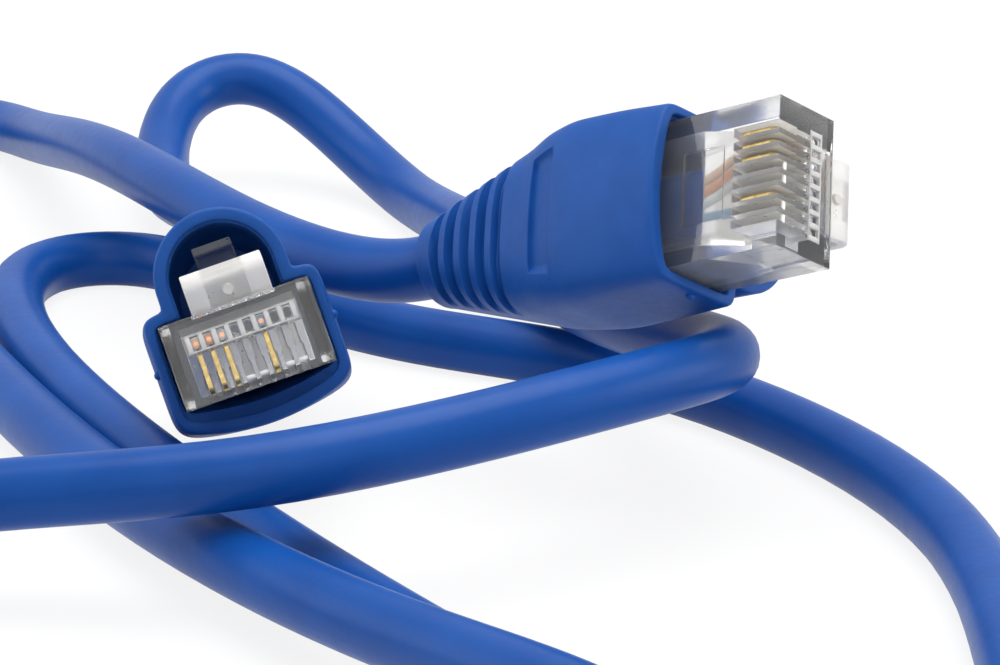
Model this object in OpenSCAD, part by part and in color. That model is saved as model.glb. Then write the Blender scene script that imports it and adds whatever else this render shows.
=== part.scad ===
// Patch cable: one round four-wire cord, lying in loops, with a clear
// modular plug and a ribbed, hooded boot on each end.

/* [Cord] */
// Outer diameter of the round cord
cord_d = 5.2; // [4.8:0.1:5.4]
// Outer diameter of one insulated wire
wire_d = 0.8; // [0.7:0.02:0.84]
// Diameter of the copper core of a wire
core_d = 0.4; // [0.3:0.02:0.5]
// Width of the ground that the cord's loops cover
lie_w = 106; // [104:0.5:109]
// Length of the ground that the cord's loops cover
lie_l = 190; // [187:0.5:194]

/* [Plug housing] */
// Width of the housing, across the eight contact slots
plug_w = 11.68; // [11.3:0.02:12]
// Height of the housing, from the contact face to the latch face
plug_h = 6.6; // [6.5:0.02:6.8]
// Length of the housing, from the nose back
plug_l = 21.5; // [20:0.25:22]
// Distance from one contact slot to the next
pitch = 1.02; // [0.98:0.01:1.06]
// Width of a contact slot at its mouth
slot_w = 0.62; // [0.5:0.02:0.7]
// Depth of the wide part of a contact slot
slot_deep = 2.1; // [1.6:0.1:2.4]
// Length of the contact slots, from the nose back
slot_l = 4.2; // [4:0.1:4.6]
// Distance of the jacket's cut end from the nose
jacket_y = 7.7; // [7.2:0.1:8.6]

/* [Contacts] */
// Thickness of a contact blade
blade_t = 0.35; // [0.3:0.01:0.4]
// Length of a contact blade along the plug
blade_l = 3.1; // [2.6:0.1:3.2]
// How far a blade's edge sits inside the contact face
blade_in = 0.55; // [0.3:0.05:0.9]

/* [Latch] */
// Width of the latch's broad root
latch_w = 6.3; // [5.6:0.1:6.6]
// Width of the latch's narrow tab
tab_w = 3.15; // [2.6:0.05:3.4]
// Length of the broad root, measured along the latch
latch_root = 6.3; // [5.8:0.1:6.8]
// Whole length of the latch
latch_l = 13.6; // [12.5:0.1:14]
// Thickness of the latch
latch_t = 0.85; // [0.7:0.05:0.95]
// Angle at which the latch stands off the housing
latch_rise = 17.5; // [16:0.5:18.5]

/* [Boot] */
// Distance of the boot's rim from the nose
rim_y = 9.5; // [8.8:0.1:10.2]
// Length of the boot
boot_l = 26; // [25.5:0.25:28]
// Wall of the boot beside the housing, at the rim
rim_wall = 1.15; // [1:0.05:1.3]
// Wall of the boot around the latch
hood_wall = 1; // [0.8:0.05:1.2]
// Outer radius of the hood over the latch
hood_r = 5.2; // [5.1:0.05:5.4]
// Distance between two grooves of the strain relief
rib_pitch = 1.8; // [1.7:0.05:1.9]
// Width of a groove
groove_w = 0.9; // [0.7:0.05:1]
// Depth of a groove
groove_deep = 0.5; // [0.3:0.05:0.6]
// Length of the sunk bar on the contact side
bar_l = 10; // [8:0.1:10.4]
// Width of the sunk bar
bar_w = 2.3; // [1.6:0.1:2.4]
// Depth of the sunk bar
bar_deep = 0.6; // [0.3:0.05:0.7]

/* [Hidden] */
pins = [1, 2, 3, 6];
ends = ["a", "b"];
$fn = 48;

// A plug's own frame: X across the slots, Y from the nose back along the
// cord, Z from the contact face to the latch. A pose is the place of the
// contact face's middle on the nose, then the turn, the dip and the roll.
pose_a = [[36.3, -25, 28.5], 53.5, -20, 119.5];
pose_b = [[-1.5, -27.5, 12.6], 4.5, -18, -18];

// Clearances
slide = 0.03;           // blade in its slot, wire in its tunnel
seat = 0.06;            // housing in the boot, cord in the boot's bore
hair = 0.01;            // tooth under its core
far = 60;               // longer than anything that is cut

// Plug, worked out
axis_z = plug_h / 2;                // the cord's axis in the plug
boot_end = rim_y + boot_l;          // the boot's tail face
rim_half = plug_w / 2 + rim_wall;   // half of the boot's width at the rim
rim_lo = -rim_wall - 0.3;           // its lowest and highest shoulder there
rim_hi = plug_h + rim_wall;
shoulder = 0.7;                     // how far the housing narrows at its tail
wire_z = plug_h - 2;                // height of the wires' tunnels
nose_wall = 0.7;                    // wall in front of the tunnels
window = [slot_w, 0.35, 1.1];       // sunk window in front of a wire
blade_slot = blade_t + 2 * slide;   // narrow part of a contact slot
well_w = 9;                         // inside width of the cord's well
well_h = cord_d + 0.2;              // inside height of the cord's well
load_y = slot_l + 0.3;              // front of the well
tooth_z = wire_z - core_d / 2 - hair;
crimp_y = 13.4;                     // front of the crimp bar
crimp_l = 3.2;                      // length of the crimp bar
crimp_w = 5;                        // width of the crimp bar
crimp_in = 0.8;                     // how far it presses into the jacket
dip = 0.25;                         // depth of the sunk field behind the slots
pivot_y = 0.95;                     // the latch's living hinge
pivot_z = plug_h + 0.15;
knuckle_r = 0.4;                    // rounded root of the latch

// Height at which the cord's axis lies on the floor. Its underside is
// pressed flat there by a tenth of its diameter.
rest = cord_d * 0.4;

function pin_x(n) = (n - 4.5) * pitch;
// Where each wire leaves the jacket, side by side in pin order
function fan_x(n) = (n == 1 ? -1.5 : n == 2 ? -0.5 : n == 3 ? 0.5 : 1.5) * (wire_d + 0.1);

function about_x(v, a) = [v.x, v.y * cos(a) - v.z * sin(a), v.y * sin(a) + v.z * cos(a)];
function about_y(v, a) = [v.x * cos(a) + v.z * sin(a), v.y, v.z * cos(a) - v.x * sin(a)];
function about_z(v, a) = [v.x * cos(a) - v.y * sin(a), v.x * sin(a) + v.y * cos(a), v.z];
function on_plug(p, v) = p[0] + about_z(about_x(about_y(v, p[3]), p[2]), p[1]);

module place(p) {
    translate(p[0])
        rotate([0, 0, p[1]])
            rotate([p[2], 0, 0])
                rotate([0, p[3], 0])
                    children();
}

// ---- Cord ----------------------------------------------------------

// Points of the cord's lie, given for loops that cover this much ground
given = [106, 190];
lie = [
    [-5, 10.5, 13], [-20, 42.5, 12.6], [-30.5, 78.5, 3.6],
    [-37, 94, rest], [-50.5, 92.5, rest], [-52.5, 75, rest],
    [-25, -1, 2.4], [-5, -40, 4], [12.5, -61.5, 5.2],
    [24, -81, 9.6], [36, -92.5, 4], [49, -85.5, rest],
    [51.4, -49.5, rest], [49.8, -21.5, rest], [30, 9.5, rest],
    [8, 16.5, rest], [-6.5, 31.5, rest], [-16.5, 43.5, rest],
    [-28.5, 39.5, rest], [-26.5, 19.5, rest], [-14.5, -9.5, rest],
    [6.5, -45.5, rest], [20.5, -65, rest], [28, -84.5, rest],
    [14, -97.5, rest], [-24, -79.5, rest], [-44, -50.5, 3.8],
    [-29, -34.5, 7.2], [-2, -44.3, 10.4], [28, -28, 13.4],
    [37, -16, 11.6], [23, 3.5, 7.8], [14, 36.5, 6.6],
    [8, 65.5, -0.2], [-2.2, 76, 7.6], [-9.5, 80, 11],
    [-17.8, 77, 8.4], [-17, 58, rest], [-8.3, 33.5, 10.2]
];
// The cord leaves each boot straight, then follows these points, which a
// cubic B-spline rounds off.
route = concat(
    [on_plug(pose_a, [0, boot_end, axis_z]), on_plug(pose_a, [0, boot_end + 7, axis_z])],
    [for (p = lie) [p.x * lie_w / given.x, p.y * lie_l / given.y, p.z]],
    [on_plug(pose_b, [0, boot_end + 5, axis_z]), on_plug(pose_b, [0, boot_end, axis_z])]
);
last = len(route) - 1;
cord_sides = 10;
steps = 2;              // rings on each stretch of the route

// A point of the route, with one more beyond each end so that the curve
// starts and stops exactly on the boots
function knot(i) =
    i < 0 ? 2 * route[0] - route[1] :
    i > last ? 2 * route[last] - route[last - 1] : route[i];
function curve(i, t) = (
    pow(1 - t, 3) * knot(i - 1)
    + (3 * pow(t, 3) - 6 * t * t + 4) * knot(i)
    + (3 * t + 3 * t * t + 1 - 3 * pow(t, 3)) * knot(i + 1)
    + pow(t, 3) * knot(i + 2)) / 6;
line = [
    for (i = [0:last - 1], k = [0:steps - 1]) curve(i, k / steps),
    route[last]
];

function unit(v) = v / norm(v);
// A ring of n points of diameter d round p, facing along v, that stays
// above the height lowest
function ring(p, v, d, n, lowest) =
    let (
        side = unit(cross(v, [0, 0, 1])),
        up = cross(side, unit(v))
    ) [
        for (k = [0:n - 1])
            let (
                a = 90 + 360 * k / n,
                q = p + d / 2 * (cos(a) * side + sin(a) * up)
            ) [q.x, q.y, max(lowest, q.z)]
    ];
// The way a path heads at its point i, given its first and last headings
function heading(path, i, first, final) =
    i == 0 ? first :
    i == len(path) - 1 ? final :
    unit(path[i + 1] - path[i]) + unit(path[i] - path[i - 1]);

// A closed skin over m + 1 rings of n points, each ring turning from the
// right over the top to the left, fanned from the middle at both ends
module skin(rings) {
    n = len(rings[0]);
    m = len(rings) - 1;
    top = (m + 1) * n;
    flank = [
        for (i = [0:m - 1], k = [0:n - 1])
            let (a = i * n + k, b = i * n + (k + 1) % n)
                each [[a, b, b + n], [a, b + n, a + n]]
    ];
    caps = [
        for (k = [0:n - 1])
            let (j = (k + 1) % n)
                each [[top, j, k], [top + 1, m * n + k, m * n + j]]
    ];
    polyhedron(
        concat([for (r = rings) each r], [middle(rings[0]), middle(rings[m])]),
        concat(flank, caps)
    );
}
function middle(r) = [for (v = r) 1] * r / len(r);

module tube(path, first, final, d, n, lowest) {
    skin([
        for (i = [0:len(path) - 1])
            ring(path[i], heading(path, i, first, final), d, n, lowest)
    ]);
}

module cord() {
    color("royalblue")
        tube(line, route[1] - route[0], route[last] - route[last - 1], cord_d, cord_sides, 0);
}

// The cord's last stretch, through the boot and into the plug
module jacket_end() {
    color("royalblue")
        difference() {
            translate([0, jacket_y, axis_z])
                rotate([-90, 0, 0])
                    cylinder(d = cord_d, h = boot_end - jacket_y);
            translate([-crimp_w / 2 - slide, crimp_y - slide, -1])
                cube([crimp_w + 2 * slide, crimp_l + 2 * slide, 1 + crimp_top() + slide]);
        }
}

// ---- Plug housing --------------------------------------------------

function crimp_top() = axis_z - cord_d / 2 + crimp_in;

// The well that the cord and the fanned wires lie in, from the side
module well() {
    lo = axis_z - well_h / 2;
    hi = axis_z + well_h / 2;
    translate([well_w / 2, 0, 0])
        rotate([0, -90, 0])
            linear_extrude(well_w)
                polygon([
                    [wire_z - 0.8, load_y], [wire_z + 0.8, load_y],
                    [hi, jacket_y - 0.5], [hi, plug_l + 1],
                    [lo, plug_l + 1], [lo, jacket_y - 0.5]
                ]);
}

// One contact's slot, its blade slot, the wire's tunnel and its window
module way(n) {
    translate([pin_x(n) - slot_w / 2, -1, -1])
        cube([slot_w, slot_l + 1, slot_deep + 1]);
    translate([pin_x(n) - blade_slot / 2, -1, -1])
        cube([blade_slot, slot_l + 1, wire_z - wire_d / 2 - 0.5 + 1]);
    translate([pin_x(n) - blade_slot / 2, nose_wall, 0])
        cube([blade_slot, slot_l - nose_wall, wire_z]);
    translate([pin_x(n), nose_wall, wire_z])
        rotate([-90, 0, 0])
            cylinder(d = wire_d + 2 * slide, h = load_y);
    translate([pin_x(n) - window.x / 2, -1, wire_z - window.z / 2])
        cube([window.x, 1 + window.y, window.z]);
}

module housing() {
    color([0.93, 0.95, 0.97, 0.4])
        difference() {
            translate([-plug_w / 2, 0, 0])
                cube([plug_w, plug_l, plug_h]);
            for (n = [1:8]) way(n);
            well();
            // sunk field behind the slots
            translate([1 - plug_w / 3, slot_l + 0.9, -1])
                cube([2 * plug_w / 3 - 2, jacket_y - slot_l + 0.3, 1 + dip]);
            // groove that the latch's rounded root sits in
            translate([-latch_w / 2 - 0.1, pivot_y, pivot_z])
                rotate([0, 90, 0])
                    cylinder(r = knuckle_r + 0.05, h = latch_w + 0.2);
            // pocket behind the pressed-in crimp bar
            translate([-crimp_w / 2, crimp_y, -1])
                cube([crimp_w, crimp_l, 1 + axis_z]);
            // narrowed shoulders at the tail
            for (s = [-1, 1])
                translate([s * plug_w / 2, plug_l, axis_z])
                    rotate([0, 0, 45])
                        cube([shoulder * sqrt(2), shoulder * sqrt(2), far], center = true);
        }
    color([0.93, 0.95, 0.97, 0.4])
        crimp_bar();
}

// The bar that is pressed into the jacket, hinged on the housing's floor
module crimp_bar() {
    translate([-crimp_w / 2, 0, 0])
        rotate([90, 0, 90])
            linear_extrude(crimp_w)
                polygon([
                    [crimp_y, 0], [crimp_y, crimp_top() - 0.5],
                    [crimp_y + 0.6, crimp_top()],
                    [crimp_y + crimp_l, crimp_top()],
                    [crimp_y + crimp_l, crimp_top() - 0.7],
                    [crimp_y + 1, 0]
                ]);
}

// ---- Latch ---------------------------------------------------------

module latch() {
    color([0.93, 0.95, 0.97, 0.4])
        translate([0, pivot_y, pivot_z])
            rotate([latch_rise, 0, 0])
                difference() {
                    union() {
                        translate([-latch_w / 2, 0, 0])
                            rotate([0, 90, 0])
                                cylinder(r = knuckle_r, h = latch_w);
                        latch_strip(latch_w, 0, latch_root);
                        latch_strip(tab_w, latch_root - 0.5, latch_l);
                        // raised grip at the tab's end
                        translate([-tab_w / 2, latch_l - 0.9, latch_t - 0.1])
                            cube([tab_w, 0.9, 0.3]);
                    }
                    // round mark of the mould's ejector pin
                    translate([0, latch_root * 0.55, latch_t - 0.12])
                        cylinder(d = 1.7, h = 1);
                }
}

module latch_strip(w, from, to) {
    translate([-w / 2, from, -0.1])
        cube([w, to - from, latch_t]);
}

// ---- Contacts and wires --------------------------------------------

// A blade from the side: a rounded front corner, two teeth on top
module contact(n) {
    top = wire_z - wire_d / 2 - 0.45;
    y0 = nose_wall + 0.1;
    y1 = y0 + blade_l;
    r = 0.6;
    color("gold")
        translate([pin_x(n) - blade_t / 2, 0, 0])
            rotate([90, 0, 90])
                linear_extrude(blade_t)
                    polygon(concat(
                        [for (a = [180:15:270]) [y0 + r + r * cos(a), blade_in + r + r * sin(a)]],
                        [[y1, blade_in], [y1, tooth_z], [y1 - 0.35, top], [y1 - 1, top],
                         [y1 - 1.35, tooth_z], [y1 - 1.7, top], [y0, top]]
                    ));
}

// A wire's insulation: straight in its tunnel, then across to the jacket
module wire(n) {
    shade = n == 1 ? "bisque" : n == 2 ? "darkorange" : n == 3 ? "lavender" : "steelblue";
    back = [0, 1, 0];
    path = [
        [pin_x(n), nose_wall + slide, wire_z], [pin_x(n), load_y + 0.05, wire_z],
        [fan_x(n), jacket_y - 0.2, axis_z], [fan_x(n), jacket_y, axis_z]
    ];
    color(shade)
        difference() {
            tube(path, back, back, wire_d, 12, -far);
            translate([pin_x(n), 0, wire_z])
                rotate([-90, 0, 0])
                    cylinder(d = core_d + 2 * hair, h = slot_l, $fn = 12);
            // the blade's teeth go in from below
            translate([pin_x(n) - blade_t / 2 - slide, nose_wall, 0])
                cube([blade_t + 2 * slide, blade_l + 0.3, wire_z - core_d / 2]);
        }
}

module core(n) {
    color("peru")
        translate([pin_x(n), nose_wall + slide, wire_z])
            rotate([-90, 0, 0])
                cylinder(d = core_d, h = slot_l - nose_wall - 0.1, $fn = 12);
}

// ---- Boot ----------------------------------------------------------

// A cross-section at y, as a ring of points seen from the cord's axis: a
// rounded box of the given half width between the heights lo and hi, square
// for a high sq, with a crown on the contact side, under a round hood of
// radius r whose middle is up above the axis, cut back by a depth which the
// flanks keep only a share of
function section(y, half, lo, hi, sq, crown, r, up, cut = 0, share = 1) = [
    for (k = [0:sides - 1])
        let (
            a = (k + 0.5) * 360 / sides,
            tall = a < 180 ? hi - axis_z : axis_z - lo,
            box = pow(pow(abs(cos(a)) / half, sq) + pow(abs(sin(a)) / tall, sq), -1 / sq),
            hood = a < 180 && r > up * abs(cos(a)) ?
                up * sin(a) + sqrt(r * r - pow(up * cos(a), 2)) : 0,
            reach = max(box, hood) - cut * max(share, faced(a)),
            x = reach * cos(a),
            sag = a > 180 ? crown * (1 - pow(x / half, 2)) : 0
        ) [x, y, axis_z + reach * sin(a) - sag]
];
sides = 48;
// 1 where a ring's point lies on the contact side or the latch side, 0 on the
// flanks, and between the two round the corners
function faced(a) = max(0, min(1, max(-sin(a) - 0.15, sin(a) - 0.65) / 0.3));

// The boot narrows from its rim to the cord: how far along it y lies, and
// its half width and its lowest and highest point there
neck_y = plug_l + 2;                // where the strain relief begins
tail_half = cord_d / 2 + 0.95;      // half width at the tail
neck_half = 7;                      // half width at the neck
function ahead(t) = rim_y + t * (neck_y - rim_y);
function along(y) = (y - neck_y) / (boot_end - neck_y);
function neck(y) = neck_half + (tail_half - neck_half) * along(y);
function neck_lo(y) = -1.1 + (axis_z - tail_half + 1.1) * along(y);
function neck_hi(y) = 7.4 + (axis_z + tail_half - 7.4) * along(y);
function rib(y, cut, share) =
    section(
        y, neck(y), neck_lo(y), neck_hi(y),
        4 - 2 * along(y), 0.5 * (1 - along(y)), 0, 0, cut, share
    );
groove_y = [for (k = [0:4]) neck_y + 2.7 + rib_pitch * k];

hood_up = 5.65;                     // the hood's middle above the cord's axis

// Behind its rim the boot swells by this much on each side. Where the sunk
// bar is, it has this half width, lowest shoulder and crown, and this slope.
swell = 0.45;
bar_half = rim_half + swell - 0.25;
bar_lo = rim_lo - 0.25;
bar_crown = 0.6;
bar_slope = 15;
bar_y = ahead(0.83);

module boot_body() {
    skin(concat(
        [
            section(rim_y, rim_half, rim_lo, rim_hi, 12, 1.5, hood_r, hood_up),
            section(
                ahead(0.3), rim_half + swell / 2, rim_lo - 0.45, rim_hi,
                12, 1.1, hood_r, hood_up - 0.2
            ),
            section(
                ahead(0.65), rim_half + swell, rim_lo - 0.65, rim_hi,
                8, 0.8, hood_r - 0.2, hood_up - 1.3
            ),
            section(
                bar_y, bar_half, bar_lo, rim_hi - 0.25,
                7, bar_crown, hood_r - 0.8, hood_up - 2.8
            )
        ],
        [rib(neck_y, 0, 1)],
        [
            for (g = groove_y) each [
                rib(g - groove_w / 2, 0, 0),
                rib(g - groove_w / 2 + 0.12, groove_deep, 0),
                rib(g + groove_w / 2 - 0.12, groove_deep, 0),
                rib(g + groove_w / 2, 0, 0)
            ]
        ],
        [rib(boot_end - 0.3, 0, 1), rib(boot_end, 0.3, 1)]
    ));
}

// A ring round the room that the latch moves in, and one round the mouth
function room_ring(y, r, up) = concat(
    [[r, y, axis_z]],
    [for (a = [0:15:180]) [r * cos(a), y, axis_z + up + r * sin(a)]],
    [[-r, y, axis_z]]
);
function mouth_ring(y, half, lo, hi, crown) = concat(
    [[half, y, lo], [half, y, hi], [-half, y, hi], [-half, y, lo]],
    [for (t = [-0.75:0.25:0.75]) [t * half, y, lo - crown * (1 - t * t)]]
);

module boot() {
    inner = hood_r - hood_wall;
    seat_half = plug_w / 2 + seat;
    color("mediumblue")
        difference() {
            union() {
                boot_body();
                // nubs of the mould's parting line
                for (s = [-1, 1])
                    translate([s * (rim_half - 0.3), rim_y + 0.6, axis_z])
                        rotate([0, s * 90, 0])
                            cylinder(r = 0.35, h = 0.6, $fn = 16);
            }
            // seat of the housing, narrowed at the tail as the housing is
            translate([0, 0, -seat])
                linear_extrude(plug_h + 2 * seat)
                    polygon([
                        [-seat_half, rim_y - 1], [seat_half, rim_y - 1],
                        [seat_half, plug_l - shoulder], [seat_half - shoulder, plug_l + 0.1],
                        [shoulder - seat_half, plug_l + 0.1], [-seat_half, plug_l - shoulder]
                    ]);
            // flared mouth
            skin([
                mouth_ring(rim_y - 0.5, rim_half - 0.75, rim_lo + 0.65, plug_h + 0.3, 1.05),
                mouth_ring(rim_y + 1, rim_half - 0.75, rim_lo + 0.65, plug_h + 0.3, 1.05),
                mouth_ring(rim_y + 7, plug_w / 2 - 0.5, 0.4, plug_h - 0.4, 0)
            ]);
            // room for the latch under the hood
            skin([
                room_ring(rim_y - 1, inner, hood_up),
                room_ring(rim_y + 4, inner, hood_up - 0.2),
                room_ring(rim_y + 8.5, inner - 0.4, hood_up - 1.7)
            ]);
            // bore for the cord
            translate([0, plug_l - 1, axis_z])
                rotate([-90, 0, 0])
                    cylinder(d = cord_d + 2 * seat, h = far);
            sunk_bar();
        }
}

// The sunk bar across the contact side, of even depth under its crown
module sunk_bar() {
    xs = [for (k = [-5:5]) k * bar_l / 10];
    translate([0, bar_y, bar_lo])
        rotate([90 + bar_slope, 0, 0])
            linear_extrude(bar_w, center = true)
                polygon(concat(
                    [[bar_l / 2, -6], [-bar_l / 2, -6]],
                    [for (x = xs) [x, bar_deep - bar_crown * (1 - pow(x / bar_half, 2))]]
                ));
}

// ---- Assembly ------------------------------------------------------

cord();
for (e = [0, 1]) {
    p = [pose_a, pose_b][e];
    place(p) jacket_end();
    place(p) housing();
    place(p) latch();
    place(p) boot();
    for (n = pins) {
        place(p) contact(n);
        place(p) wire(n);
        place(p) core(n);
    }
}
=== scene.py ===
# %% [markdown]
# # A patch cable, dressed
#
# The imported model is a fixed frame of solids: one cord in loops and, on each
# end, a boot, a clear plug, its latch, and the contacts and wires inside it.
# This lesson gives that frame its looks. The frame stays where it is, and every
# new piece is made in its place, in metres.

from math import cos, pi, radians, sin, sqrt

import bmesh
import bpy
from mathutils import Matrix, Vector


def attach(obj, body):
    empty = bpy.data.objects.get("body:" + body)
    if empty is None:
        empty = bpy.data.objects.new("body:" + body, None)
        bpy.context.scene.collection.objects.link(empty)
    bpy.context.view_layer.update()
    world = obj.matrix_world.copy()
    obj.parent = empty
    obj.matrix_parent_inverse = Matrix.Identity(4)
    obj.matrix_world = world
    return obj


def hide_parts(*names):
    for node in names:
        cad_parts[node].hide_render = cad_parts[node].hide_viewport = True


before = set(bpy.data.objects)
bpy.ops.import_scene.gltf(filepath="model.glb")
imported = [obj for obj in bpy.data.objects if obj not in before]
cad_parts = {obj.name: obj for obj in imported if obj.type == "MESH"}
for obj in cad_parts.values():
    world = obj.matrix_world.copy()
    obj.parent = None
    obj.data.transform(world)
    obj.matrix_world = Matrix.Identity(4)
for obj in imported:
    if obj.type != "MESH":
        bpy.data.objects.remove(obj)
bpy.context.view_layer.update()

# %% [markdown]
# ## Camera
#
# The cable is small, so the camera is a long lens close by, a little above it
# and tipped down. The long lens keeps the two plugs nearly the same size.

# %% Camera
TIPPED_DOWN = 17.5

camera = bpy.data.objects.new("camera", bpy.data.cameras.new("camera"))
bpy.context.collection.objects.link(camera)
camera.location = (0.016, -0.2915, 0.100)
camera.rotation_euler = (radians(90 - TIPPED_DOWN), 0, 0)
camera.data.lens = 136
camera.data.sensor_width = 36
camera.data.clip_start = 0.01
bpy.context.scene.camera = camera

# %% [markdown]
# ## Where the plugs are
#
# A plug has its own frame, in millimetres: X across its contact slots, Y from
# the nose back along the cord, Z from the contact face to the latch. Its pose is
# the place of its nose, then a turn, a dip and a roll. One matrix holds all of
# that, and the change to metres.

# %% Plug poses
def plug_matrix(nose, turn, dip, roll):
    """The matrix from a plug's frame in millimetres to the scene in metres."""
    turned = (
        Matrix.Rotation(radians(turn), 4, "Z")
        @ Matrix.Rotation(radians(dip), 4, "X")
        @ Matrix.Rotation(radians(roll), 4, "Y")
    )
    return Matrix.Scale(0.001, 4) @ Matrix.Translation(nose) @ turned


PLUGS = {
    "a": plug_matrix((36.3, -25, 28.5), 53.5, -20, 119.5),
    "b": plug_matrix((-1.5, -27.5, 12.6), 4.5, -18, -18),
}
POSITIONS = 8           # contact slots side by side
PITCH = 1.02            # from one slot to the next
PINS = (1, 2, 3, 6)     # positions that have a contact and a wire
AXIS = 3.3              # height of the cord's axis above the contact face
BOOT_END = 35.5         # the boot's tail, from the nose


def across(position):
    """Where the middle of a contact slot is, across the plug."""
    return PITCH * (position - (POSITIONS + 1) / 2)


# %% [markdown]
# ## The cord
#
# A cord is one length of something bendy. It leaves each boot straight and then
# follows a few listed points, which a cubic B-spline rounds off: such a
# curve passes near its points, not through them, and never kinks. A bevelled
# curve object turns the line into a round tube, and where the tube lies on the
# floor its underside is pressed flat.

# %% Route of the cord
CORD = 5.2                      # diameter
REST = CORD * 0.4               # height of the axis where it lies on the floor
STRAIGHT = {"a": 7, "b": 5}     # from each boot's tail to the first bend

along_route = [
    (-5, 10.5, 13), (-20, 42.5, 12.6), (-30.5, 78.5, 3.6),
    (-37, 94, REST), (-50.5, 92.5, REST), (-52.5, 75, REST),
    (-25, -1, 2.4), (-5, -40, 4), (12.5, -61.5, 5.2),
    (24, -81, 9.6), (36, -92.5, 4), (49, -85.5, REST),
    (51.4, -49.5, REST), (49.8, -21.5, REST), (30, 9.5, REST),
    (8, 16.5, REST), (-6.5, 31.5, REST), (-16.5, 43.5, REST),
    (-28.5, 39.5, REST), (-26.5, 19.5, REST), (-14.5, -9.5, REST),
    (6.5, -45.5, REST), (20.5, -65, REST), (28, -84.5, REST),
    (14, -97.5, REST), (-24, -79.5, REST), (-44, -50.5, 3.8),
    (-29, -34.5, 7.2), (-2, -44.3, 10.4), (28, -28, 13.4),
    (37, -16, 11.6), (23, 3.5, 7.8), (14, 36.5, 6.6),
    (8, 65.5, -0.2), (-2.2, 76, 7.6), (-9.5, 80, 11),
    (-17.8, 77, 8.4), (-17, 58, REST), (-8.3, 33.5, 10.2),
]
tail = {end: PLUGS[end] @ Vector((0, BOOT_END, AXIS)) for end in PLUGS}
lead = {end: PLUGS[end] @ Vector((0, BOOT_END + STRAIGHT[end], AXIS)) for end in PLUGS}
route = (
    [tail["a"], lead["a"]]
    + [Vector(point) / 1000 for point in along_route]
    + [lead["b"], tail["b"]]
)


def rounded(points, parts):
    """Points on the cubic B-spline of these, starting and ending on them."""
    knots = [2 * points[0] - points[1], *points, 2 * points[-1] - points[-2]]
    line = []
    for i in range(1, len(knots) - 2):
        before, here, after, beyond = knots[i - 1:i + 3]
        for k in range(parts):
            t = k / parts
            line.append((
                (1 - t) ** 3 * before + (3 * t**3 - 6 * t**2 + 4) * here
                + (3 * t + 3 * t**2 + 1 - 3 * t**3) * after + t**3 * beyond
            ) / 6)
    return line + [points[-1]]


centre_line = rounded(route, 10)

# %% Tube of the cord
def tube(name, line, diameter, resolution):
    """A mesh tube from a bevelled curve, pressed flat where it lies on the floor."""
    curve = bpy.data.curves.new(name, "CURVE")
    curve.dimensions = "3D"
    curve.bevel_depth = diameter / 2
    curve.bevel_resolution = resolution
    curve.twist_mode = "Z_UP"
    curve.use_fill_caps = True
    spline = curve.splines.new("POLY")
    spline.points.add(len(line) - 1)
    for knot, point in zip(spline.points, line):
        knot.co = (*point, 1)
    holder = bpy.data.objects.new(name, curve)
    mesh = bpy.data.meshes.new_from_object(holder)
    bpy.data.objects.remove(holder)
    for vertex in mesh.vertices:
        vertex.co.z = max(vertex.co.z, 0)
    for face in mesh.polygons:
        face.use_smooth = True
    mesh.name = name
    piece = bpy.data.objects.new(name, mesh)
    bpy.context.collection.objects.link(piece)
    return piece


cord = tube("cord_jacket", centre_line, CORD / 1000, 10)
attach(cord, "cable")
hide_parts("cord")
print("tube:", len(cord.data.polygons), "faces")

# %% [markdown]
# ## Materials
#
# Each finish is a small tree of nodes. Two helpers keep the trees short: one
# feeds a socket with a value or with another node's output, and one adds a node
# and feeds its sockets by name.
#
# Every tree here reads Object coordinates, which are the frame's own metres, so a
# noise scale of 1000 means one feature a millimetre. The depth of a relief is in
# metres too: a few hundredths of a millimetre are enough to break up a highlight.

# %% Helpers for nodes
def feed(tree, socket, value):
    """Links another node's output to a socket, or sets the socket to a plain value."""
    if isinstance(value, bpy.types.NodeSocket):
        tree.links.new(value, socket)
    else:
        socket.default_value = value


def node(tree, kind, **sockets):
    """A new shader node with its sockets fed. Their names have _ for a space."""
    made = tree.nodes.new("ShaderNode" + kind)
    for name, value in sockets.items():
        feed(tree, made.inputs[name.replace("_", " ")], value)
    return made


def new_material(name, **sockets):
    """A material and its Principled BSDF, with that shader's sockets fed."""
    material = bpy.data.materials.new(name)
    material.use_nodes = True
    shader = material.node_tree.nodes["Principled BSDF"]
    for socket, value in sockets.items():
        feed(material.node_tree, shader.inputs[socket.replace("_", " ")], value)
    return material, shader


def noise(tree, scale, detail):
    """The factor of a noise texture on Object coordinates."""
    where = node(tree, "TexCoord").outputs["Object"]
    return node(tree, "TexNoise", Vector=where, Scale=scale, Detail=detail).outputs["Fac"]


def roughened(tree, shader, scale, detail, low, high):
    """Roughness that runs from low to high with a noise."""
    spread = node(tree, "MapRange", Value=noise(tree, scale, detail), To_Min=low, To_Max=high)
    feed(tree, shader.inputs["Roughness"], spread.outputs["Result"])


def mottled(name, colour, roughness, relief=None, **sockets):
    """A material whose colour, roughness and relief each follow a noise.

    Each is given as the noise's scale and detail, and then as the two colours,
    the two roughnesses or the depth that the noise runs between.
    """
    material, shader = new_material(name, **sockets)
    tree = material.node_tree
    scale, detail, low, high = colour
    ramp = node(tree, "ValToRGB", Fac=noise(tree, scale, detail))
    first, last = ramp.color_ramp.elements
    first.position, first.color = 0.3, (*low, 1)
    last.position, last.color = 0.7, (*high, 1)
    feed(tree, shader.inputs["Base Color"], ramp.outputs["Color"])
    roughened(tree, shader, *roughness)
    if relief:
        scale, detail, depth = relief
        height = noise(tree, scale, detail)
        bump = node(tree, "Bump", Height=height, Distance=depth, Strength=0.5)
        feed(tree, shader.inputs["Normal"], bump.outputs["Normal"])
    return material


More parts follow.
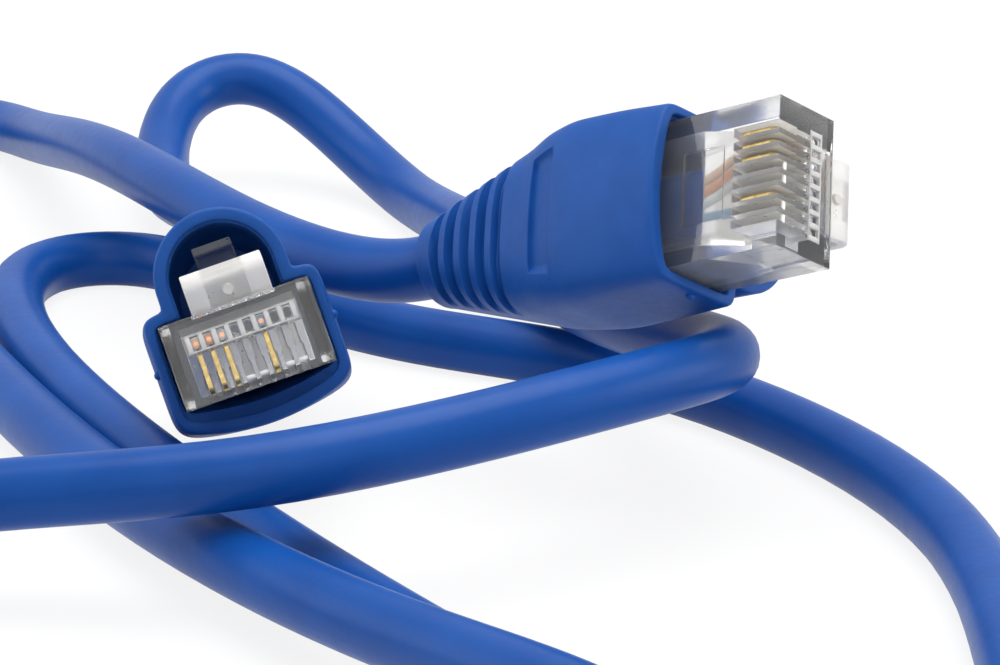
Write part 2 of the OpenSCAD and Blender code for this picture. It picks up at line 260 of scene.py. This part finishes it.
# %% [markdown]
# ### Blue jacket and blue boots
#
# Both are soft vinyl of one blue. The jacket is drawn through a die, so it is
# smooth, with long faint waves. The boot comes from a mould whose walls were
# given a fine grain, so it is duller.

# %% Jacket and boot
jacket = mottled(
    "jacket_vinyl",
    colour=(140, 2, (0.003, 0.056, 0.26), (0.005, 0.068, 0.30)),
    roughness=(900, 4, 0.30, 0.42),
    relief=(1600, 3, 0.00003),
    Specular_IOR_Level=0.17,
)
boot_vinyl = mottled(
    "boot_vinyl",
    colour=(420, 3, (0.005, 0.064, 0.275), (0.008, 0.074, 0.315)),
    roughness=(1500, 4, 0.40, 0.56),
    relief=(5200, 4, 0.00002),
    Specular_IOR_Level=0.2,
)
print("blues made")

# %% [markdown]
# ### Clear plastic
#
# The plugs are clear polycarbonate: a transmissive shader with its real
# refractive index and the faintest grey tint. The dark and bright bands in it
# are only the room, bent by its walls. A moulded edge is never knife-sharp: the
# bevel node rounds it in the shading, and so draws a fine line along each edge.
# The five grades differ in how much light goes through and how rough they are.

# %% Clear plastic
EDGE_RADIUS = 0.00012


def polycarbonate(name, clearness, rough, grain, tint):
    """Clear plastic: the share of light let through, its least and most roughness, its tint."""
    material, shader = new_material(
        name, Transmission_Weight=clearness, IOR=1.5, Base_Color=(*tint, 1)
    )
    tree = material.node_tree
    roughened(tree, shader, grain, 3, *rough)
    bevel = node(tree, "Bevel", Radius=EDGE_RADIUS)
    bevel.samples = 6
    feed(tree, shader.inputs["Normal"], bevel.outputs["Normal"])
    return material


clear = polycarbonate("clear_polycarbonate", 0.98, (0.01, 0.04), 700, (0.97, 0.97, 0.97))
satin = polycarbonate("satin_polycarbonate", 0.88, (0.1, 0.2), 900, (0.97, 0.97, 0.96))
frosted = polycarbonate("frosted_polycarbonate", 0.68, (0.22, 0.4), 1500, (0.97, 0.95, 0.91))
# painted highlight: nearly opaque near-white, in place of the light that the tunnel ends and
# sills catch through the clear wall
painted_highlight = polycarbonate("painted_highlight_polycarbonate", 0.08, (0.35, 0.5), 1500, (0.95, 0.94, 0.92))
milky = polycarbonate("milky_polycarbonate", 0.4, (0.35, 0.5), 1500, (0.9, 0.88, 0.85))

# %% [markdown]
# ### Gold, copper and the wires
#
# The blades are copper alloy with a skin of gold, so they are warm and sharp.
# The wires are thin solid-colour plastic with a satin skin.

# %% Metals and wires
gold = mottled(
    "gold_plate",
    colour=(2600, 3, (0.36, 0.26, 0.10), (0.58, 0.44, 0.20)),
    roughness=(4000, 3, 0.16, 0.32),
    relief=(9000, 2, 0.000008),
    Metallic=1.0,
)
copper = mottled(
    "copper_core",
    colour=(3000, 3, (0.66, 0.27, 0.12), (0.86, 0.42, 0.22)),
    roughness=(5000, 2, 0.22, 0.4),
    Metallic=1.0,
)


def wire_plastic(name, low, high):
    """Satin wire insulation whose colour wavers a little."""
    return mottled(name, colour=(1200, 2, low, high), roughness=(3000, 2, 0.34, 0.5))


WIRES = {
    1: wire_plastic("wire_pale_orange", (0.80, 0.47, 0.27), (0.88, 0.62, 0.42)),
    2: wire_plastic("wire_orange", (0.78, 0.25, 0.06), (0.86, 0.33, 0.10)),
    3: wire_plastic("wire_pale_green", (0.72, 0.76, 0.74), (0.84, 0.87, 0.86)),
    6: wire_plastic("wire_blue_green", (0.16, 0.36, 0.58), (0.22, 0.44, 0.66)),
}
print("wires:", len(WIRES))

# %% [markdown]
# ## The small pieces of the frame
#
# Contacts and copper cores are right as solids, so they keep their shape and get
# their finish.

# %% Finishes on frame nodes
def finish_node(name, material):
    """Every slot of a frame node gets this material."""
    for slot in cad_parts[name].material_slots:
        slot.material = material


for end in PLUGS:
    for pin in PINS:
        finish_node(f"contact_{end}{pin}", gold)
        finish_node(f"core_{end}{pin}", copper)
cord.data.materials.append(jacket)

# %% [markdown]
# ## Shapes from rings and blocks
#
# Latches, boots and the jacket's ends are made in one way: rings of points, and
# a skin that the extrude operator draws from each ring to the next. The small
# parts inside the nose are bevelled blocks.

# %% Helpers for shapes
HAIR = 0.03     # bevel on a block's edges


def drawn_on(mesh, ring, points):
    """Extrudes a closed ring of vertices onto new places and returns the new ring."""
    edges = [mesh.edges.get(pair) for pair in zip(ring, ring[1:] + ring[:1])]
    made = set(bmesh.ops.extrude_edge_only(mesh, edges=edges)["geom"])
    following = []
    for corner, point in zip(ring, points):
        ahead = next(
            edge.other_vert(corner) for edge in corner.link_edges
            if edge.other_vert(corner) in made
        )
        ahead.co = point
        following.append(ahead)
    return following


def lofted(rings, closed):
    """A bmesh skin over rings of points, each with as many points as the first."""
    mesh = bmesh.new()
    first = bmesh.ops.create_circle(mesh, segments=len(rings[0]), radius=1)["verts"]
    for corner, point in zip(first, rings[0]):
        corner.co = point
    ring = first
    for points in rings[1:]:
        ring = drawn_on(mesh, ring, points)
    if closed:
        ring = drawn_on(mesh, ring, rings[0])
        bmesh.ops.weld_verts(mesh, targetmap=dict(zip(ring, first)))
    else:
        ends = [edge for edge in mesh.edges if edge.is_boundary]
        bmesh.ops.holes_fill(mesh, edges=ends, sides=0)
    bmesh.ops.recalc_face_normals(mesh, faces=mesh.faces)
    return mesh


def block(mesh, end, low, high):
    """A box between two corners in a plug's frame, with a hair of bevel."""
    size = Vector(high) - Vector(low)
    middle = (Vector(high) + Vector(low)) / 2
    made = bmesh.ops.create_cube(
        mesh, size=1,
        matrix=PLUGS[end] @ Matrix.Translation(middle) @ Matrix.Diagonal((*size, 1)),
    )
    edges = {edge for corner in made["verts"] for edge in corner.link_edges}
    bmesh.ops.bevel(
        mesh, geom=list(edges), offset=HAIR / 1000, segments=2, profile=0.5,
        affect="EDGES", material=-1,
    )


def finished(mesh, name, material, sharp):
    """Turns a bmesh into a smooth-shaded object in its place."""
    piece = bpy.data.objects.new(name, bpy.data.meshes.new(name))
    mesh.to_mesh(piece.data)
    mesh.free()
    for face in piece.data.polygons:
        face.use_smooth = True
    piece.data.set_sharp_from_angle(angle=radians(sharp))
    piece.data.materials.append(material)
    bpy.context.collection.objects.link(piece)
    return piece


def zoned(piece, end, materials, zone):
    """Gives a piece several materials. The zone tells the number of each face's one."""
    piece.data.materials.clear()
    for material in materials:
        piece.data.materials.append(material)
    to_plug = PLUGS[end].inverted()
    for face in piece.data.polygons:
        face.material_index = zone(to_plug @ face.center)


# %% [markdown]
# ## Clear housings
#
# The slots and the tunnels come from rougher steel in the mould, so they are
# frosted, while the nose and the contact face are clear and the flat walls a
# little dull. A welded copy of each solid carries all three finishes, and two
# cuts give the clear upper nose straight borders.

# %% Housings
NOSE_ABOVE, NOSE_DEPTH = 3.8, 1.2       # the clear upper nose
NOSE_WALL, SOLE = 0.4, 0.3              # the clear front wall and contact face
SLOTS_HALF, SLOTS_DEPTH = 4.6, 5        # the frosted room of slots and tunnels
SLOTS_LOW, SLOTS_HIGH = 0.05, 5.4
CUTS = [((0, NOSE_DEPTH, 0), (0, 1, 0)), ((0, 0, NOSE_ABOVE), (0, 0, 1))]


def housing_zone(point):
    """0 on the nose and contact face, 1 in the slots and tunnels, 2 elsewhere."""
    if point.z > NOSE_ABOVE and point.y < NOSE_DEPTH:
        return 0
    deep = NOSE_WALL < point.y < SLOTS_DEPTH
    if deep and abs(point.x) < SLOTS_HALF and SLOTS_LOW < point.z < SLOTS_HIGH:
        return 1
    return 0 if point.y < NOSE_WALL or point.z < SOLE else 2


def clear_housing(end):
    """A welded copy of a housing's solid, cut where its clear upper nose ends."""
    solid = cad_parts[f"housing_{end}"]
    piece = bpy.data.objects.new(f"clear_housing_{end}", solid.data.copy())
    bpy.context.collection.objects.link(piece)
    mesh = bmesh.new()
    mesh.from_mesh(piece.data)
    bmesh.ops.remove_doubles(mesh, verts=mesh.verts, dist=1e-6)
    bmesh.ops.dissolve_limit(
        mesh, angle_limit=radians(1), verts=mesh.verts, edges=mesh.edges
    )
    place = PLUGS[end]
    for point, normal in CUTS:
        bmesh.ops.bisect_plane(
            mesh, geom=mesh.verts[:] + mesh.edges[:] + mesh.faces[:], dist=1e-7,
            plane_co=place @ Vector(point), plane_no=place.to_3x3() @ Vector(normal),
        )
    mesh.to_mesh(piece.data)
    mesh.free()
    return piece


for end in PLUGS:
    piece = clear_housing(end)
    zoned(piece, end, (clear, frosted, satin), housing_zone)
    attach(piece, "cable")
    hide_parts(f"housing_{end}")

# %% [markdown]
# ## Latches
#
# A latch is one thin strip. It rises from its groove behind the nose, bends
# back over the housing to two shoulders, and ends in a narrow ribbed tab. Rings
# of a rounded rectangle follow that line, and the shoulders are where the width
# changes from one ring to the next.

# %% Latches
WIDE, NARROW = 6.3, 3.15

# place along the plug, height, lean of the line, width, thickness
LATCH_LINE = (
    # the root, and the rise from it
    [(0.95, 6.4, 90, 6.1, 0.3), (0.94, 6.5, 93, WIDE, 0.6), (0.92, 6.65, 98, WIDE, 0.76)]
    + [(0.92 - 0.42 * k / 4, 6.65 + 1.65 * k / 4, 104, WIDE, 0.8) for k in range(1, 5)]
    # the bend back over the housing, an arc of 0.75 about (1.23, 8.48)
    + [
        (1.23 - 0.75 * sin(radians(lean)), 8.48 + 0.75 * cos(radians(lean)), lean, WIDE, 0.8)
        for lean in range(94, 3, -10)
    ]
    # back to the shoulders, and the start of the tab
    + [(3, 9.21, -0.8, WIDE, 0.8), (5, 9.18, 0, WIDE, 0.8), (6.3, 9.18, 4, WIDE, 0.8)]
    + [(6.85, 9.25, 10, WIDE, 0.8)]
    + [(6.95, 9.27, 12, NARROW, 0.75), (7.6, 9.42, 16, NARROW, 0.75)]
    + [(7.6 + 1.1 * k, 9.42 + 0.325 * k, 16.5, NARROW, 0.72) for k in range(1, 5)]
    # the ribs and the tab's end
    + [
        (12.2 + 0.2 * k, 10.78 + 0.059 * k, 16.5, NARROW, (0.7, 0.98)[k % 2])
        for k in range(8)
    ]
    + [(13.75, 11.24, 16.5, 3.1, 0.6), (13.82, 11.26, 16.5, 2.9, 0.3)]
)
SHOULDERS, RIBS = 7, 12     # where the shoulders end and where the ribs start
MIDDLE = 1.6                # half the frosted width between the shoulders
CORNER = 0.12               # radius of the strip's long edges


def strip_ring(end, y, z, lean, width, thick):
    """A rounded rectangle across the latch's line."""
    up = Vector((0, -sin(radians(lean)), cos(radians(lean))))
    curve = min(CORNER, thick / 3)
    half, rise = width / 2 - curve, thick / 2 - curve
    inner = min(MIDDLE, width / 2 - 0.3)
    points = []
    for quarter, (side, level) in enumerate(((1, 1), (-1, 1), (-1, -1), (1, -1))):
        for turn in (0, 45, 90):
            angle = radians(90 * quarter + turn)
            points.append((side * half + curve * cos(angle), level * rise + curve * sin(angle)))
        if level == side:
            points += [(side * inner, level * thick / 2), (-side * inner, level * thick / 2)]
    return [PLUGS[end] @ (Vector((x, y, z)) + rise_by * up) for x, rise_by in points]


def latch_zone(point):
    """0 on the tab, 1 between the shoulders and at the ribs, 2 on the shoulders."""
    if point.y > SHOULDERS:
        return 0 if point.y < RIBS else 1
    return 2 if abs(point.x) > MIDDLE else 1


for end in PLUGS:
    mesh = lofted([strip_ring(end, *row) for row in LATCH_LINE], closed=False)
    # the round mark that the mould's ejector pin leaves
    bmesh.ops.create_cone(
        mesh, cap_ends=True, segments=32, radius1=0.45, radius2=0.4, depth=0.3,
        matrix=PLUGS[end] @ Matrix.Translation((0, 0.26, 7.6))
        @ Matrix.Rotation(radians(90), 4, "X"),
    )
    piece = finished(mesh, f"clear_latch_{end}", clear, 40)
    zoned(piece, end, (clear, frosted, milky), latch_zone)
    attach(piece, f"latch_{end}")
    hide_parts(f"latch_{end}")

# %% [markdown]
# ## Boots
#
# A boot is one closed tube of rings. They run over its outside from the tail to
# the rim, round the lip, back inside through the mouth, the latch's room, the
# housing's seat and the cord's bore, and meet the first ring again. Each ring is
# a cross-section seen from the cord's axis: a squared oval that sags on the
# contact side, under an arch.

# %% Cross-sections of the boot
RIM = 9.5           # the boot's front, from the nose
LEDGE = 10.2        # the step inside the mouth

# place along the plug, half width, lowest and highest shoulder, squareness,
# sag, radius of the arch and height of its middle
OUTSIDE = (
    (RIM, 6.99, -1.45, 7.75, 12, 1.5, 5.2, 5.65),
    (13.7, 7.2, -1.9, 7.75, 11, 1.1, 5.2, 5.45),
    (18.6, 7.44, -2.1, 7.75, 8, 0.8, 5, 4.35),
    (21.1, 7.2, -1.7, 7.5, 7, 0.6, 4.4, 2.85),
    (23.5, 7, -1.1, 7.4, 4, 0.5, 3.6, 0.4),
    (BOOT_END, 3.55, -0.25, 6.85, 2, 0, 3.4, 0),
)
MOUTH = (RIM, 6.24, -0.8, 6.9, 16, 1.05, 4.2, 5.65)
INSIDE = (
    (LEDGE, 6.1, -0.15, 6.8, 20, 0.8, 4.05, 5.6),
    (13.5, 6.05, -0.1, 6.75, 20, 0.4, 4.05, 5.45),
    (16.5, 5.9, -0.06, 6.66, 30, 0, 3.9, 4.5),
    (18, 5.9, -0.06, 6.66, 30, 0, 3.8, 3.95),
    (18.3, 5.9, -0.06, 6.66, 30, 0, 2.6, 0.4),
    (21.6, 5.9, -0.06, 6.66, 30, 0, 2.6, 0.4),
)
BORE = (0, 2.66, AXIS - 2.66, AXIS + 2.66, 2, 0, 2, 0)

# %% Between the cross-sections
EASE = 0.8          # reach over which the outside's kinks are rounded


def row_at(rows, y):
    """The row for a place along the plug, between its two neighbours."""
    y = min(max(y, rows[0][0]), rows[-1][0])
    for before, after in zip(rows, rows[1:]):
        if y <= after[0]:
            share = (y - before[0]) / (after[0] - before[0])
            return [a + share * (b - a) for a, b in zip(before, after)]


def eased_row(rows, y):
    """As row_at, with the kinks between rows rounded."""
    nearby = [row_at(rows, y + step) for step in (-EASE, 0, 0, EASE)]
    return [sum(column) / len(nearby) for column in zip(*nearby)]


def steps(start, stop, size):
    """Places from start to stop, both in, about one size apart."""
    count = max(round(abs(stop - start) / size), 1)
    return [start + (stop - start) * k / count for k in range(count + 1)]


# %% [markdown]
# A ring goes round the cord's axis. In each direction it has the reach of the
# oval or of the arch, whichever is further out, less the depth of a groove
# there. The bar is sunk straight up into the contact side.

# %% Rings of the boot
AROUND = 180        # points in a ring
BLEND = 30          # how sharply oval and arch meet
GROOVES = [26.2 + 1.8 * k for k in range(5)]
GROOVE_DEPTH, GROOVE_HALF, GROOVE_FLANK = 0.8, 0.55, 0.16
BAR_FRONT, BAR_BACK, BAR_DEPTH = 19.75, 22.4, 0.42
BAR_SPREAD = 0.7    # cosine of the direction in which the bar ends


def ramp(t):
    """From 0 to 1 with t, softly at both ends."""
    t = min(max(t, 0), 1)
    return t * t * (3 - 2 * t)


def reach_of(row, c, s):
    """How far a cross-section reaches from the cord's axis, in the direction (c, s)."""
    half, low, high, square, _, arch, up = row[1:]
    tall = high - AXIS if s > 0 else AXIS - low
    oval = ((abs(c) / half) ** square + (abs(s) / tall) ** square) ** (-1 / square)
    if s <= 0:
        return oval
    if arch * s <= up * abs(c):
        arched = arch / abs(c)
    else:
        arched = up * s + sqrt(max(arch**2 - (up * c) ** 2, 0))
    return (oval**BLEND + arched**BLEND) ** (1 / BLEND)


def groove_depth(y, s):
    """Depth of the grooves, which run over top and bottom and leave the sides whole."""
    nearest = min(abs(y - groove) for groove in GROOVES)
    below, above = ramp((-s - 0.15) / 0.3), ramp((s - 0.7) / 0.2)
    return GROOVE_DEPTH * ramp((GROOVE_HALF - nearest) / GROOVE_FLANK) * (below + above)


def bar_depth(y, c):
    """Depth of the sunk bar, with a sloped front, a steep back and steep ends."""
    front, back = ramp((y - BAR_FRONT) / 0.45), ramp((BAR_BACK - y) / 0.14)
    return BAR_DEPTH * ramp((BAR_SPREAD - abs(c)) / 0.03) * front * back


def ring_points(end, row, y, cut=0, carved=False):
    """One ring of a boot. Carved rings carry the grooves and the sunk bar."""
    half, sag = row[1], row[5]
    points = []
    for k in range(AROUND):
        angle = 2 * pi * (k + 0.5) / AROUND
        c, s = cos(angle), sin(angle)
        reach = reach_of(row, c, s) - cut
        if carved:
            reach -= groove_depth(y, s)
        x, z = reach * c, AXIS + reach * s
        if s < 0:
            z -= sag * max(1 - (x / half) ** 2, 0)
            if carved:
                z += bar_depth(y, c)
        points.append(PLUGS[end] @ Vector((x, y, z)))
    return points


# %% [markdown]
# Rings lie close together where the surface has detail, over the grooves and
# the sunk bar, and further apart elsewhere. A rounded edge is a few rings that
# step back from the edge while they step in or out.

# %% Boot from its rings
FINE = 0.08
OUTER_PLACES = (
    steps(35.2, 25.5, FINE) + steps(25.2, 23.1, 0.3)
    + steps(23, 19.2, FINE) + steps(18.8, 9.9, 0.5)
)
INNER_PLACES = steps(10.5, 18, 0.5) + [18.3, 21.6]
OUTER_EDGE, LIP_EDGE, LEDGE_EDGE = 0.3, 0.15, 0.1     # radii
NUB, NUB_ACROSS, NUB_BACK = 0.36, 7.05, 10.4          # radius and place


def front_edge(end, row, front, radius, turns):
    """Rings round a front edge. They close in with a radius above 0, and open out below."""
    rings = []
    for turn in turns:
        y = front + abs(radius) * (1 - sin(radians(turn)))
        rings.append(ring_points(end, row, y, radius * (1 - cos(radians(turn)))))
    return rings


def boot(end):
    """A boot with its grooves, sunk bar, hood and inside, and a nub on each side."""
    rings = []
    # outside, from the tail's rounded edge forward
    for turn in (0, 30, 60):
        y = BOOT_END - OUTER_EDGE * (1 - cos(radians(90 - turn)))
        cut = OUTER_EDGE * (1 - sin(radians(turn)))
        rings.append(ring_points(end, eased_row(OUTSIDE, y), y, cut))
    for y in OUTER_PLACES:
        rings.append(ring_points(end, eased_row(OUTSIDE, y), y, carved=True))
    # rounded outer edge of the rim, its flat face, and the rounded lip
    rings += front_edge(end, OUTSIDE[0], RIM, OUTER_EDGE, (0, 30, 60, 90))
    rings += front_edge(end, MOUTH, RIM, -LIP_EDGE, (90, 60, 30, 0))
    # mouth, down to its ledge
    rings += [ring_points(end, MOUTH, y) for y in (9.9, 10.1, LEDGE - 0.02)]
    rings.append(ring_points(end, MOUTH, LEDGE, 0.04))
    rings += front_edge(end, INSIDE[0], LEDGE, -LEDGE_EDGE, (90, 60, 30, 0))
    # inside, and the bore of the cord
    rings += [ring_points(end, row_at(INSIDE, y), y) for y in INNER_PLACES]
    rings += [ring_points(end, BORE, y) for y in (INNER_PLACES[-1], 28, BOOT_END)]
    mesh = lofted(rings, closed=True)
    # nubs where the mould's halves meet
    for side in (-1, 1):
        bmesh.ops.create_uvsphere(
            mesh, u_segments=24, v_segments=12, radius=NUB,
            matrix=PLUGS[end] @ Matrix.Translation((side * NUB_ACROSS, NUB_BACK, AXIS)),
        )
    return finished(mesh, f"soft_boot_{end}", boot_vinyl, 38)


# %% [markdown]
# ## Window bands
#
# The nose shows a band with a window in front of each wire, and a sill low in each
# slot that has no contact. Both lie a little inside the wall. Their near-white
# plastic is painted highlight: it stands in for the light that the tunnel ends
# and sills catch through the clear wall.

# %% Window band and sills
BAND_FRONT, BAND_BACK = 0.04, 0.3
BAND_LOW, BAND_HIGH = 3.92, 5.18
RAIL, POST = 0.11, 0.18         # height of a rail, half width of a post
SILL_LOW, SILL_HIGH = 0.8, 1.08


def window_band(end):
    """Two rails with posts between them, and the sills below."""
    mesh = bmesh.new()
    for z in (BAND_LOW, BAND_HIGH):
        block(mesh, end, (-4.3, BAND_FRONT, z), (4.3, BAND_BACK, z + RAIL))
    for k in range(POSITIONS + 1):
        x = PITCH * (k - POSITIONS / 2)
        low, high = (x - POST, BAND_FRONT, BAND_LOW + RAIL), (x + POST, BAND_BACK, BAND_HIGH)
        block(mesh, end, low, high)
    for position in range(1, POSITIONS + 1):
        if position not in PINS:
            x = across(position)
            block(mesh, end, (x - 0.34, 0.05, SILL_LOW), (x + 0.34, 0.25, SILL_HIGH))
    # the near-white finish here is painted highlight, not the plastic's own colour
    return finished(mesh, f"window_band_{end}", painted_highlight, 30)


# %% Boots and window bands in place
for end in PLUGS:
    piece = boot(end)
    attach(piece, "cable")
    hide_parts(f"boot_{end}")
    print(piece.name, len(piece.data.polygons), "faces")
    piece = window_band(end)
    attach(piece, "cable")

# %% [markdown]
# ## Inside the plugs
#
# The jacket ends inside the plug with its cut face to the nose, pressed flat
# from below by the crimp bar. Four wires come out of it and fan to their tunnels.

# %% Jacket's last stretch
UNDERSIDE = AXIS - CORD / 2     # the jacket's lowest line
CRIMP_AT, CRIMP_HALF, CRIMP_DEPTH = 15, 1.9, 0.83
SLEEVE_AROUND = 48


def sleeve_points(end, y, radius):
    """A ring of the jacket, flattened from below where the crimp bar presses."""
    press = ramp((CRIMP_HALF - abs(y - CRIMP_AT)) / 0.3)
    points = []
    for k in range(SLEEVE_AROUND):
        angle = 2 * pi * k / SLEEVE_AROUND
        z = max(AXIS + radius * sin(angle), UNDERSIDE + CRIMP_DEPTH * press)
        points.append(PLUGS[end] @ Vector((radius * cos(angle), y, z)))
    return points


# place along the plug and radius, ending with the rounded edge of the cut face
SLEEVE = (
    [(y, CORD / 2) for y in [BOOT_END, 24, 18] + steps(17.4, 12.6, 0.15) + [7.85]]
    + [(7.74, 2.57), (7.7, 2.47), (7.7, 2.05), (7.78, 1.95), (9.4, 1.9)]
)
for end in PLUGS:
    mesh = lofted([sleeve_points(end, y, radius) for y, radius in SLEEVE], closed=False)
    piece = finished(mesh, f"jacket_sleeve_{end}", jacket, 40)
    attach(piece, "cable")
    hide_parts(f"jacket_end_{end}")

# %% Wires
WIRE = 0.8          # diameter
FAN = 0.9           # between two wires where they leave the jacket
TUNNEL = 4.6        # height of the tunnels' axes above the contact face

for end in PLUGS:
    for order, pin in enumerate(PINS):
        x, fan = across(pin), FAN * (order - (len(PINS) - 1) / 2)
        bends = [
            (x, 0.76, TUNNEL), (x, 2.4, TUNNEL), (x, 4.4, TUNNEL),
            (0.4 * x + 0.6 * fan, 6.2, 3.9), (fan, 7.7, AXIS), (fan, 9.4, AXIS),
        ]
        line = rounded([PLUGS[end] @ Vector(bend) for bend in bends], 6)
        piece = tube(f"wire_sleeve_{end}{pin}", line, WIRE / 1000, 6)
        piece.data.materials.append(WIRES[pin])
        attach(piece, "cable")
        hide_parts(f"wire_{end}{pin}")

# %% [markdown]
# ## Floor and light
#
# The floor and the world are white, or nearly, to the camera and to what
# reflects or bends the view, and light the cable only as much as a bright studio
# does. A floor that keeps a small share of its own shading still shows the
# cable's shadow.

# %% Floor and world
FLOOR_GLOW = 0.85   # share of the floor that is plain white to the eye


def arithmetic(tree, operation, first, second):
    """The result of a math node."""
    made = tree.nodes.new("ShaderNodeMath")
    made.operation = operation
    feed(tree, made.inputs[0], first)
    feed(tree, made.inputs[1], second)
    return made.outputs["Value"]


def white_to_the_eye(tree, strength, real, plain):
    """Mixes in plain light for what is seen straight on, in a mirror or through glass."""
    ray = node(tree, "LightPath").outputs
    bent = arithmetic(tree, "MAXIMUM", ray["Is Glossy Ray"], ray["Is Transmission Ray"])
    seen = arithmetic(tree, "MAXIMUM", ray["Is Camera Ray"], bent)
    mix = node(tree, "MixShader", Fac=arithmetic(tree, "MULTIPLY", seen, strength))
    feed(tree, mix.inputs[1], real)
    feed(tree, mix.inputs[2], plain)
    return mix.outputs["Shader"]


# the real light of the world grows from the horizon up, and its plain light is
# a little under white, so that clear plastic keeps some tone
world = bpy.data.worlds.new("studio")
bpy.context.scene.world = world
world.use_nodes = True
tree = world.node_tree
split = node(tree, "SeparateXYZ", Vector=node(tree, "TexCoord").outputs["Generated"])
climb = node(
    tree, "MapRange", Value=split.outputs["Z"],
    From_Min=0.15, From_Max=0.9, To_Min=0.3, To_Max=0.9,
)
dim = tree.nodes["Background"]
feed(tree, dim.inputs["Color"], (0.93, 0.96, 1, 1))
feed(tree, dim.inputs["Strength"], climb.outputs["Result"])
white = node(tree, "Background", Color=(0.8, 0.8, 0.8, 1), Strength=1.0)
whitened = white_to_the_eye(tree, 1.0, dim.outputs["Background"], white.outputs["Background"])
feed(tree, tree.nodes["World Output"].inputs["Surface"], whitened)

bpy.ops.mesh.primitive_plane_add(size=6)
floor = bpy.context.object
floor.name = "floor"
paper, shader = new_material("white_paper", Roughness=0.8, Base_Color=(0.82, 0.82, 0.82, 1))
tree = paper.node_tree
glow = node(tree, "Emission", Strength=1.0)
whitened = white_to_the_eye(
    tree, FLOOR_GLOW, shader.outputs["BSDF"], glow.outputs["Emission"]
)
feed(tree, tree.nodes["Material Output"].inputs["Surface"], whitened)
floor.data.materials.append(paper)

# %% Lamps
AIM = Vector((0, 0, 0.01))


def soft_lamp(name, place, size, power):
    """A square area lamp that faces the cable."""
    lamp = bpy.data.objects.new(name, bpy.data.lights.new(name, "AREA"))
    bpy.context.collection.objects.link(lamp)
    lamp.location = place
    lamp.rotation_euler = (AIM - Vector(place)).to_track_quat("-Z", "Y").to_euler()
    lamp.data.size = size
    lamp.data.energy = power


soft_lamp("overhead", (0.1, 0.1, 0.9), 0.8, 8.2)
soft_lamp("from_the_left", (-0.95, 0.1, 0.42), 0.8, 3)
soft_lamp("from_the_right", (0.9, -0.1, 0.3), 0.5, 2.5)
soft_lamp("from_the_front", (0, -0.9, 0.5), 0.6, 1.3)
bpy.context.scene.view_settings.view_transform = "Standard"
